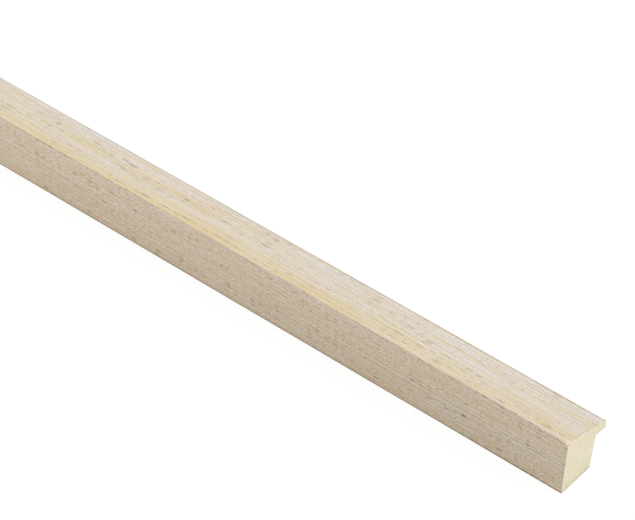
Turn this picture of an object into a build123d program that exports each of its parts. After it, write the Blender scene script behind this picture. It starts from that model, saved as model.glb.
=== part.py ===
from build123d import *
from math import cos, radians, sin, tan
import os

# A length of picture frame moulding, machined from one piece of light timber and sawn square.
# X runs along the grain, Y from the outer side of the frame to its sight edge, and Z up from the
# flat back that lies on the wall. The origin is below the middle of the stock, on the back.

# Sizes in millimetres, angles in degrees
stock_length = 1200.0
face_width = 25.0
outer_height = 25.5
face_slope = 16.4
lip_thickness = 3.3
rebate_width = 6.2
rebate_tilt = 4.0
outer_corner_radius = 0.5
sight_edge_radius = 0.2
lip_underside_radius = 0.2
rebate_corner_radius = 0.3
back_arris_radius = 0.2

# Corners of the planed blank: a square back, upright sides and a face that falls to the sight edge
outer_side = -face_width / 2
sight_edge = face_width / 2
sight_edge_height = outer_height - face_width * tan(radians(face_slope))
face_outer_corner = (outer_side, outer_height)
face_inner_corner = (sight_edge, sight_edge_height)
back_outer_corner = (outer_side, 0)

# The rebate is one square cut, tilted so that its seat falls a little towards the sight edge
lip_corner = (sight_edge, sight_edge_height - lip_thickness)
rebate_corner = (
    sight_edge - rebate_width * cos(radians(rebate_tilt)),
    lip_corner[1] + rebate_width * sin(radians(rebate_tilt)),
)
back_inner_corner = (rebate_corner[0] - rebate_corner[1] * tan(radians(rebate_tilt)), 0)
cutter_size = 2 * max(face_width, outer_height)

eased_corners = [
    (face_outer_corner, outer_corner_radius),
    (face_inner_corner, sight_edge_radius),
    (lip_corner, lip_underside_radius),
    (rebate_corner, rebate_corner_radius),
    (back_inner_corner, back_arris_radius),
    (back_outer_corner, back_arris_radius),
]


def moulding_section():
    """The section across the grain, on the plane square to the stock."""
    with BuildSketch(Plane.YZ) as section:
        with BuildLine():
            Polyline(
                back_outer_corner,
                (sight_edge, 0),
                face_inner_corner,
                face_outer_corner,
                close=True,
            )
        make_face()
        with Locations(rebate_corner):
            Rectangle(
                cutter_size,
                cutter_size,
                rotation=-rebate_tilt,
                align=(Align.MIN, Align.MAX),
                mode=Mode.SUBTRACT,
            )
        for corner, radius in eased_corners:
            fillet(section.vertices().sort_by_distance(corner)[0], radius)
    return section.sketch


def moulding():
    """The section run along the grain and sawn square at both ends."""
    return extrude(moulding_section(), amount=stock_length / 2, both=True)


os.makedirs("parts", exist_ok=True)
export_step(moulding(), "parts/moulding.step")
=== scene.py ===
from math import acos, cos, exp, pi, radians, sin, tan

import bpy
from mathutils import Euler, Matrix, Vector, noise


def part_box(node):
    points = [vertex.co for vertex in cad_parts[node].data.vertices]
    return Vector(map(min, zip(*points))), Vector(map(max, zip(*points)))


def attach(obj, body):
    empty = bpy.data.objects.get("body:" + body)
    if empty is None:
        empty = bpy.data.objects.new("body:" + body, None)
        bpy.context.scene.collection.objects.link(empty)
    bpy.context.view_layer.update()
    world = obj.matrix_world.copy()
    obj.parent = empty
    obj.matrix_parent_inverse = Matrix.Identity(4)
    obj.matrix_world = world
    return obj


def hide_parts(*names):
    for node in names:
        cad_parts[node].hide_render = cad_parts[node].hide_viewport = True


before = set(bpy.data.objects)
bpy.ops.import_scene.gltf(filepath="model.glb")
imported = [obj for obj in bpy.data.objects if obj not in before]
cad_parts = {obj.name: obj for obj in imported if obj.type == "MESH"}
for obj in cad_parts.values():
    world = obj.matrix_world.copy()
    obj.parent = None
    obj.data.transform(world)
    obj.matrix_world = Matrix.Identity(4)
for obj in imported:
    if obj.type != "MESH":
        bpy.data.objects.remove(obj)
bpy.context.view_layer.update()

# The moulding. One length of pale light timber, run through shaped cutters and brushed, then
# rubbed with white liming wash on the faces that a frame shows. It was sawn square to length
# after that, so the sawn ends are bare wood, as the back and the rebate are.
MM = 0.001
low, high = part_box("moulding")
stock_length = (high.x - low.x) / MM
face_width = (high.y - low.y) / MM
outer_height = 25.5
face_slope = radians(16.4)
lip_thickness = 3.3
rebate_width = 6.2
rebate_tilt = radians(4)
rebate_corner_radius = 0.3
arris_radius = 0.2
ridge_radius = 0.5

stock_end = stock_length / 2
outer_side = -face_width / 2
sight_edge = face_width / 2
sight_edge_height = outer_height - face_width * tan(face_slope)
lip_height = sight_edge_height - lip_thickness
rebate_side = sight_edge - rebate_width * cos(rebate_tilt)
rebate_height = lip_height + rebate_width * sin(rebate_tilt)
back_inner_side = rebate_side - rebate_height * tan(rebate_tilt)

# The section's corners and the radius each is eased to, anticlockwise. The outline starts and ends
# at a plain point near the middle of the back.
outline_start = -4
section_corners = [
    ("back middle", (outline_start, 0), 0),
    ("back inner", (back_inner_side, 0), arris_radius),
    ("rebate", (rebate_side, rebate_height), rebate_corner_radius),
    ("lip", (sight_edge, lip_height), arris_radius),
    ("sight edge", (sight_edge, sight_edge_height), arris_radius),
    ("ridge", (outer_side, outer_height), ridge_radius),
    ("back outer", (outer_side, 0), arris_radius),
]
corner_count = len(section_corners)
face_step = 1.3
arc_turn = radians(9)
corner_flat = 0.15


def corner_place(at):
    return Vector(section_corners[at % corner_count][1])


def eased_corner(at, worn):
    """The points round one corner, with a short flat on both sides. The ridge may be worn rounder."""
    name, _, radius = section_corners[at]
    corner = corner_place(at)
    if not radius:
        return [corner]
    if name == "ridge":
        radius += worn
    before = (corner_place(at - 1) - corner).normalized()
    after = (corner_place(at + 1) - corner).normalized()
    half = acos(before.dot(after)) / 2
    centre = corner + (before + after).normalized() * radius / sin(half)
    start = (corner + before * radius / tan(half) - centre).normalized()
    end = (corner + after * radius / tan(half) - centre).normalized()
    steps = 2 * max(2, round((pi - 2 * half) / arc_turn / 2))
    turned = [centre + start.slerp(end, step / steps) * radius for step in range(steps + 1)]
    return [turned[0] + before * corner_flat, *turned, turned[-1] + after * corner_flat]


def section_outline(worn=0):
    """Points round the section in millimetres, as many however worn it is, and each corner's place."""
    turned = [eased_corner(at, worn) for at in range(corner_count)]
    points, middles = [], {}
    for at, (name, _, _) in enumerate(section_corners):
        middles[name] = len(points) + len(turned[at]) // 2
        points += turned[at]
        flat_start, flat_end = turned[at][-1], turned[(at + 1) % corner_count][0]
        steps = round((corner_place(at + 1) - corner_place(at)).length / face_step)
        points += [flat_start.lerp(flat_end, step / steps) for step in range(1, steps)]
    return points, middles


outline, middles = section_outline()
point_count = len(outline)
girth = [0]
for index, point in enumerate(outline):
    girth.append(girth[-1] + (outline[(index + 1) % point_count] - point).length)
lip_girth, sight_girth, ridge_girth, back_outer_girth = (
    girth[middles[name]] for name in ("lip", "sight edge", "ridge", "back outer")
)


def outward_of(points):
    """The direction out of the timber at each point of an outline."""
    directions = []
    for index, point in enumerate(points):
        onward = (points[(index + 1) % point_count] - point).normalized()
        along = (onward + (point - points[index - 1]).normalized()).normalized()
        directions.append(Vector((along.y, -along.x)))
    return directions


# Stations along the stock, closer near the sawn ends, where handling has rounded the ridge. The
# faces and arrises wander a little under the sander, and each sawn edge is broken by a hair.
sawn_break = 0.08
near_ends = (0, 0.5, 1.1, 1.8, 2.7, 4, 6, 9, 13)
station_step = 8
face_wander = 0.03
arris_wander = 0.05
arris_reach = 1.5
wander_length = 38
wander_girth = 5
wander_start = 3.7
end_wear = 2.0
end_wear_reach = 1.6

uniform = [station_step * step - stock_end for step in range(round(stock_length / station_step) + 1)]
stations = [
    *(max(sawn_break, inset) - stock_end for inset in near_ends),
    *(x for x in uniform if stock_end - abs(x) > near_ends[-1]),
    *(stock_end - max(sawn_break, inset) for inset in reversed(near_ends)),
]


def sanded(x, index):
    """How far inside the true section the timber lies at one place, in millimetres."""
    here = girth[index]
    nearest = min(abs(here - girth[middle]) for name, middle in middles.items() if name != "back middle")
    most = face_wander + arris_wander * max(0, 1 - nearest / arris_reach)
    wave = noise.noise(Vector((x / wander_length, here / wander_girth, wander_start)))
    return most * (0.5 + 0.5 * wave)


def moulding_mesh():
    """The brushed stock with its two sawn ends, and the map that its colours are baked to."""
    verts, faces, places, sawn = [], [], [], []
    for x in stations:
        inset = stock_end - abs(x)
        points, _ = section_outline(end_wear * exp(-inset / end_wear_reach))
        for index, (point, out) in enumerate(zip(points, outward_of(points))):
            verts.append((x, *(point - out * sanded(x, index))))
    last_ring = (len(stations) - 1) * point_count
    end_points, _ = section_outline(end_wear)
    for x, ring in ((-stock_end, 0), (stock_end, last_ring)):
        for index, out in enumerate(outward_of(end_points)):
            verts.append((x, *(Vector(verts[ring + index][1:]) - out * sawn_break)))

    # The map holds the stock as three strips, one above another, with the bare faces narrowed
    strips, strip_tall, strip_gap, side_gap = 3, 0.293, 0.008, 0.004
    bare_share = 0.45
    spread = [0]
    for index in range(point_count):
        bare = not lip_girth <= girth[index] < back_outer_girth
        spread.append(spread[-1] + (girth[index + 1] - girth[index]) * (bare_share if bare else 1))
    for station, (x, next_x) in enumerate(zip(stations, stations[1:])):
        strip = int(strips * (x / stock_length + 0.5))
        left, right = (
            side_gap + (1 - 2 * side_gap) * (strips * (edge / stock_length + 0.5) - strip)
            for edge in (x, next_x)
        )
        for index in range(point_count):
            after = (index + 1) % point_count
            first, second = station * point_count, (station + 1) * point_count
            faces.append((first + index, first + after, second + after, second + index))
            lower, upper = (
                strip_tall * strip + (strip_tall - strip_gap) * spread[at] / spread[-1]
                for at in (index, index + 1)
            )
            places += [(left, lower), (left, upper), (right, upper), (right, lower)]
            sawn.append(0)

    # The sawn ends lie side by side above the strips
    end_left, end_apart, end_wide, end_low, end_tall = 0.02, 0.5, 0.3, 0.886, 0.11
    for side, ring in enumerate((0, last_ring)):
        cap = last_ring + (1 + side) * point_count
        edge = [
            (ring + index, ring + (index + 1) % point_count, cap + (index + 1) % point_count, cap + index)
            for index in range(point_count)
        ]
        for face in (*edge, tuple(range(cap, cap + point_count))):
            face = face if side else face[::-1]
            faces.append(face)
            sawn.append(1)
            for vert in face:
                across = (verts[vert][1] - outer_side) / face_width
                up = verts[vert][2] / face_width
                places.append((end_left + side * end_apart + across * end_wide, end_low + up * end_tall))

    mesh = bpy.data.meshes.new("limed_moulding")
    mesh.from_pydata([(x * MM, y * MM, z * MM) for x, y, z in verts], [], faces)
    bake_map = mesh.uv_layers.new(name="OFBake")
    for loop, place in zip(bake_map.data, places):
        loop.uv = place
    # The finish reads how far round the section each place lies, and which faces were sawn. The last
    # face of each ring ends at the full girth instead of at 0.
    around = mesh.attributes.new("girth", "FLOAT", "CORNER")
    for face, is_sawn in zip(mesh.polygons, sawn):
        for step, loop in enumerate(face.loop_indices):
            index = mesh.loops[loop].vertex_index % point_count
            wraps = not is_sawn and index == 0 and step in (1, 2)
            around.data[loop].value = girth[point_count] if wraps else girth[index]
    sawn_mark = mesh.attributes.new("sawn", "FLOAT", "FACE")
    sawn_mark.data.foreach_set("value", sawn)
    mesh.shade_smooth()
    mesh.set_sharp_from_angle(angle=radians(32))
    return mesh


moulding = bpy.data.objects.new("limed_moulding", moulding_mesh())
bpy.context.scene.collection.objects.link(moulding)


class Tone:
    """A socket in a shader's tree. Sums and products of tones add the nodes that make them."""

    tree = None

    def __init__(self, socket):
        self.socket = socket

    @classmethod
    def node(cls, kind, settings=None, sockets=None, output=0):
        """Adds any node: its settings come first, then the values or links of its sockets."""
        made = cls.tree.nodes.new("ShaderNode" + kind)
        for name, value in (settings or {}).items():
            setattr(made, name, value)
        for name, value in (sockets or {}).items():
            if isinstance(value, Tone):
                cls.tree.links.new(value.socket, made.inputs[name])
            else:
                made.inputs[name].default_value = value
        return cls(made.outputs[output]) if made.outputs else None

    @classmethod
    def maths(cls, operation, first, second=0.0):
        return cls.node("Math", {"operation": operation}, {0: first, 1: second})

    def __add__(self, other):
        return Tone.maths("ADD", self, other)

    def __sub__(self, other):
        return Tone.maths("SUBTRACT", self, other)

    def __rsub__(self, other):
        return Tone.maths("SUBTRACT", other, self)

    def __mul__(self, other):
        return Tone.maths("MULTIPLY", self, other)

    def __abs__(self):
        return Tone.maths("ABSOLUTE", self)

    __radd__ = __add__
    __rmul__ = __mul__


def emptied_tree(owner):
    """The node tree of a material or of the sky, cleared for tones of its own."""
    owner.use_nodes = True
    owner.node_tree.nodes.clear()
    return owner.node_tree


def paint(red, green, blue):
    """A colour as it looks on a screen, from 0 to 255, as the light that it stands for."""
    shares = (share / 255 for share in (red, green, blue))
    return (*(s / 12.92 if s <= 0.04045 else ((s + 0.055) / 1.055) ** 2.4 for s in shares), 1)


def blended(amount, first, second):
    """Two colours mixed. The Mix node repeats its sockets' names, so they are found by number."""
    return Tone.node("Mix", {"data_type": "RGBA"}, {0: amount, 6: first, 7: second}, output=2)


def shaded(colour, amount):
    return Tone.node("VectorMath", {"operation": "SCALE"}, {0: colour, "Scale": amount})


def rising(value, start, end):
    """From 0 where value is at start to 1 where it is at end, eased at both."""
    eased = {"interpolation_type": "SMOOTHSTEP"}
    return Tone.node("MapRange", eased, {"Value": value, "From Min": start, "From Max": end})


def near(value, middle, reach):
    """1 where value is at the middle, falling to 0 at the reach on both sides."""
    return 1 - rising(abs(value - middle), 0, reach)


def stretched(place, long, wide):
    """Places measured in lengths along the grain and widths across it."""
    return Tone.node("VectorMath", {"operation": "DIVIDE"}, {0: place, 1: (long, wide, wide)})


def figure(place, long, wide, detail=0.0, output=0):
    """Soft figure, as long and as wide as told, around 0.5."""
    grain = {"Vector": stretched(place, long, wide), "Scale": 1, "Detail": detail}
    return Tone.node("TexNoise", {}, grain, output)


def lines(place, long, wide):
    """Fine lines along the grain, around 0: how each place differs from those on both sides of it."""
    here, above, below = (
        figure(Tone.node("VectorMath", {"operation": "ADD"}, {0: place, 1: (0, step, 0)}), long, wide)
        for step in (0, wide, -wide)
    )
    return here - 0.5 * (above + below)


def pore_marks(place, long, wide, largest, crowd):
    """Open pores as short dashes along the grain, each of its own size, and larger where they crowd."""
    cells = {"Vector": stretched(place, long, wide), "Scale": 1}
    distance = Tone.node("TexVoronoi", {}, cells, "Distance")
    chance = Tone.node("SeparateColor", {}, {0: Tone.node("TexVoronoi", {}, cells, "Color")}, "Red")
    pore_edge = 0.06
    return rising(chance * chance * crowd * largest - distance, 0, pore_edge) * (0.4 + 0.6 * chance)


limed_timber = bpy.data.materials.new("limed_timber")
Tone.tree = emptied_tree(limed_timber)

# Golden wood and the white wash in its grain on the face and on the outer side, which took less of the
# wash and carries a painted warm tint of the light in its shade, then the bare wood of the sawn ends and
# of the back
face_gold, face_wash = paint(227, 208, 166), paint(225, 220, 216)
side_gold, side_wash = paint(228, 205, 158), paint(227, 216, 206)
thread_white = paint(229, 225, 221)
# arris_brown is the painted shade at the back arris, below the ridge and at the foot of the sawn ends,
# and the brown line of the sight edge
pore_brown, vein_gold, arris_brown = paint(112, 88, 62), paint(213, 184, 134), paint(164, 136, 96)
# The last colour below is a painted highlight for the outer edge of the sawn ends
bare_end, bare_end_shade, edge_painted_highlight = paint(240, 235, 217), paint(218, 206, 163), paint(246, 240, 218)
bare_long, bare_vein = paint(224, 209, 174), paint(206, 184, 142)

object_place = Tone.node("TexCoord", output="Object")
place = shaded(object_place, 1 / MM)
along, across, up = (Tone.node("SeparateXYZ", {}, {0: place}, axis) for axis in "XYZ")
around = Tone.node("Attribute", {"attribute_name": "girth"}, output="Fac")
sawn = Tone.node("Attribute", {"attribute_name": "sawn"}, output="Fac")
from_sawn_end = stock_end - abs(along)

# The grain is all but straight, and drifts from side to side by half a millimetre
drift_long, drift_wide, drift_reach = 160, 30, 0.9
sway = figure(place, drift_long, drift_wide, detail=1, output="Color")
sideways = (0, drift_reach, drift_reach)
drift = Tone.node("VectorMath", {"operation": "MULTIPLY_ADD"}, {0: sway, 1: sideways, 2: place})

# The lines of the grain are measured aslant, which makes them as fine on the face as on the side
slant = 1 / cos(face_slope) + tan(face_slope)
line_sway = 1.8
aside = slant * across + up + line_sway * figure(place, drift_long, drift_wide, detail=1)
slanted = Tone.node("CombineXYZ", {}, {"X": along, "Y": aside, "Z": 0.3})

# Where a place lies: on the outer side, and there how near the back, on the face's half beside the
# sight edge, close to that edge, or beside the ridge, where handling has rubbed the wash off
side = rising(around, ridge_girth - 0.3, ridge_girth + 0.3)
towards_back = rising(around, ridge_girth, back_outer_girth)
towards_sight = 0.5 - rising(around, sight_girth, ridge_girth)
at_sight = 1 - rising(around, sight_girth + 1.5, sight_girth + 6)
patches = rising(figure(place, long=30, wide=4), 0.35, 0.6)
rubbed = (1 - rising(ridge_girth - around, 2, 8)) * (0.45 + 0.55 * patches)

# How much of the wash each place holds, from 0 for golden wood to 1 for white
bands = figure(drift, long=150, wide=4, detail=1) - 0.5
broad = figure(slanted, long=250, wide=1.6) - 0.5
fleck = figure(place, long=0.5, wide=0.3) - 0.5
side_fleck = figure(place, long=0.9, wide=0.28) - 0.5
streaks = (
    0.3 * lines(slanted, long=300, wide=0.8)
    + 0.35 * lines(slanted, long=70, wide=0.65)
    + 0.1 * lines(slanted, long=14, wide=0.5)
    + 0.22 * broad
)
face_lime = (
    streaks
    + 0.25 * fleck
    + 0.08 * bands
    + 0.065 * towards_sight
    + at_sight * (0.01 + 0.05 * patches)
)
side_lime = (
    0.3 * lines(slanted, long=240, wide=0.7)
    + 0.35 * lines(slanted, long=50, wide=0.55)
    + 0.1 * broad
    + 0.34 * side_fleck
    + 0.02 * (1 - rising(towards_back, 0, 0.12))
)
face_fade, side_fade = 0.055, 0.085
face_lime = rising(face_lime, -face_fade, face_fade) * (1 - 0.22 * rubbed)
side_lime = rising(side_lime, -side_fade, side_fade)
face_colour = blended(face_lime, face_gold, face_wash)
side_colour = blended(side_lime, side_gold, side_wash)
colour = blended(side, face_colour, side_colour)

# Threads of wash, golden veins and a fine unevenness lie over that, then painted shade darkens the outer
# side towards the back
threads = rising(lines(slanted, long=75, wide=0.7), 0.12, 0.24)
veins = rising(lines(slanted, long=26, wide=0.6), 0.12, 0.24)
fine_grain = lines(slanted, long=45, wide=0.5)
colour = blended(threads * (0.9 - 0.4 * side - 0.35 * rubbed), colour, thread_white)
colour = blended(veins * (0.7 - 0.2 * side), colour, vein_gold)
colour = shaded(colour, 1 + 0.4 * fleck + 0.36 * side * side_fleck + (0.3 + 0.1 * side) * fine_grain)
# Painted shade: the outer side is darker towards the back and the floor, and a touch lighter by the ridge
colour = shaded(colour, 1 + side * (0.03 - 0.06 * towards_back))

# The open pores gather in patches, and keep clear of the ridge, whose line stays straight
gathered = rising(figure(drift, long=40, wide=4, detail=1), 0.35, 0.65)
short_pores = pore_marks(drift, long=5, wide=0.4, largest=0.45, crowd=0.2 + 0.8 * gathered)
long_pores = pore_marks(drift, long=10, wide=0.4, largest=0.42, crowd=0.3 + 0.7 * gathered)
face_pores = Tone.maths("MAXIMUM", short_pores, long_pores) * rising(ridge_girth - around, 0.8, 1.8)
side_pores = pore_marks(drift, long=4, wide=0.38, largest=0.46, crowd=0.35 + 0.65 * gathered)
pores = 0.8 * face_pores * (1 - side) + 0.9 * side_pores * side
colour = blended(pores, colour, pore_brown)

# Painted shade browns the back arris and, in patches, the side just below the ridge, and a thin brown
# line runs along the sight edge
arris_painted_shade = near(around, back_outer_girth, 1.4)
colour = blended(0.85 * arris_painted_shade, colour, arris_brown)
# Painted shade in patches on the side just below the ridge
ridge_painted_shade = near(around, ridge_girth + 0.75, 0.35) * rising(figure(place, long=9, wide=6), 0.45, 0.6)
colour = blended(0.5 * ridge_painted_shade, colour, arris_brown)
sight_line = near(around, sight_girth, 1.2)
colour = blended(0.6 * sight_line, colour, arris_brown)

# The wash ends in a ragged line at the back arrises, and is chipped off along the sawn edge
ragged = figure(place, long=5, wide=3, detail=2) - 0.5
washed = rising(around + 2 * ragged, lip_girth - 0.4, lip_girth - 0.1)
washed = washed * (1 - rising(around + 1.5 * ragged, back_outer_girth + 0.3, back_outer_girth + 0.7))
washed = washed * rising(from_sawn_end + ragged, 0.15, 0.4) * (1 - sawn)

# The bare wood: pale dotted end grain, painted darker towards the foot as shade, with a painted highlight
# at the outer edge and a painted shade line at the foot, and the plain long grain of the back and the
# rebate
end_grain = rising(figure(place, long=0.7, wide=0.7, detail=1.5), 0.22, 0.78)
end_grain = blended(end_grain, bare_end_shade, bare_end)
# Painted shade: the sawn end grows darker towards the floor
end_grain = shaded(end_grain, 0.9 + 0.1 * rising(up, -1, 9))
# A painted highlight along the outer edge of the sawn end
end_grain = blended(0.6 * near(across, outer_side, 0.5), end_grain, edge_painted_highlight)
# A painted shade line along the foot of the sawn end
end_grain = blended(0.85 * near(up, 0, 1.1), end_grain, arris_brown)
summer_wood = rising(figure(drift, long=60, wide=1.1, detail=3), 0.4, 0.75)
bare_side = blended(0.7 * summer_wood, bare_long, bare_vein)
bare_side = blended(0.5 * pores, bare_side, pore_brown)
bare = blended(sawn, bare_side, end_grain)
colour = blended(washed, bare, colour)

relief = 0.5 * streaks + 0.3 * fleck - pores
dents = Tone.node("Bump", {}, {"Strength": 0.35, "Distance": 0.1 * MM, "Height": relief})
roughness = 0.55 + 0.15 * face_lime
surface = Tone.node(
    "BsdfPrincipled",
    {},
    {"Base Color": colour, "Roughness": roughness, "Normal": dents, "Specular IOR Level": 0.3},
)
Tone.node("OutputMaterial", {}, {"Surface": surface})
moulding.data.materials.append(limed_timber)

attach(moulding, "root")
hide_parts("moulding")

# The studio: a white floor that runs out of sight under one even sky, a weak lamp before the outer
# side, and a soft light above and behind the near end, which leaves that side in half shade.
floor_reach = 60
floor_corners = [(x * floor_reach, y * floor_reach, 0) for x, y in ((-1, -1), (1, -1), (1, 1), (-1, 1))]
floor_mesh = bpy.data.meshes.new("floor")
floor_mesh.from_pydata(floor_corners, [], [(0, 1, 2, 3)])
floor = bpy.data.objects.new("floor", floor_mesh)
floor.location.z = -0.1 * MM
bpy.context.scene.collection.objects.link(floor)

# The camera and reflections see the floor as white paper with a weak shadow. All else meets grey.
floor_grey, paper_glow, shadow_share = (0.5, 0.5, 0.5, 1), 1.15, 0.2
floor_paint = bpy.data.materials.new("floor_paint")
Tone.tree = emptied_tree(floor_paint)
seen = Tone.node("LightPath", output="Is Camera Ray") + Tone.node("LightPath", output="Is Glossy Ray")
matt = Tone.node("BsdfDiffuse", {}, {"Color": floor_grey})
glow = Tone.node("Emission", {}, {"Color": (1, 1, 1, 1), "Strength": paper_glow})
white = Tone.node("MixShader", {}, {0: shadow_share, 1: glow, 2: matt})
Tone.node("OutputMaterial", {}, {"Surface": Tone.node("MixShader", {}, {0: seen, 1: matt, 2: white})})
floor_mesh.materials.append(floor_paint)

sky_light = 0.52
sky = bpy.data.worlds.new("sky")
Tone.tree = emptied_tree(sky)
strength = sky_light + (1 - sky_light) * Tone.node("LightPath", output="Is Camera Ray")
even = Tone.node("Background", {}, {"Color": (1, 1, 1, 1), "Strength": strength})
Tone.node("OutputWorld", {}, {"Surface": even})
bpy.context.scene.world = sky


def lamp(name, kind, energy, shines_from):
    """A lamp that shines from the direction given."""
    made = bpy.data.objects.new(name, bpy.data.lights.new(name, kind))
    made.data.energy = energy
    made.rotation_mode = "QUATERNION"
    made.rotation_quaternion = Vector(shines_from).to_track_quat("Z", "Y")
    bpy.context.scene.collection.objects.link(made)
    return made


fill = lamp("fill", "AREA", 2.1, (0, -0.8, 0.2))
fill.data.size = 0.5
fill.location = (high.x - 0.55, low.y - 0.8, 0.22)
soft_light = lamp("soft_light", "SUN", 2.1, (0.73, 0.2, 0.655))
soft_light.data.angle = radians(40)

# The camera stands where the picture was taken from, placed from the near sawn end's outer arris
camera_data = bpy.data.cameras.new("camera")
camera_data.lens = 147.87
camera_data.sensor_width = 36
camera_data.clip_start, camera_data.clip_end = 0.05, 200
camera = bpy.data.objects.new("camera", camera_data)
near_corner = Vector((high.x, low.y, 0))
camera.location = near_corner + Vector((318.53, -573.39, 669.51)) * MM
camera.rotation_euler = Euler([radians(turn) for turn in (48.9125, -2.3984, 39.1469)])
bpy.context.scene.collection.objects.link(camera)
bpy.context.scene.camera = camera
bpy.context.scene.view_settings.view_transform = "Standard"
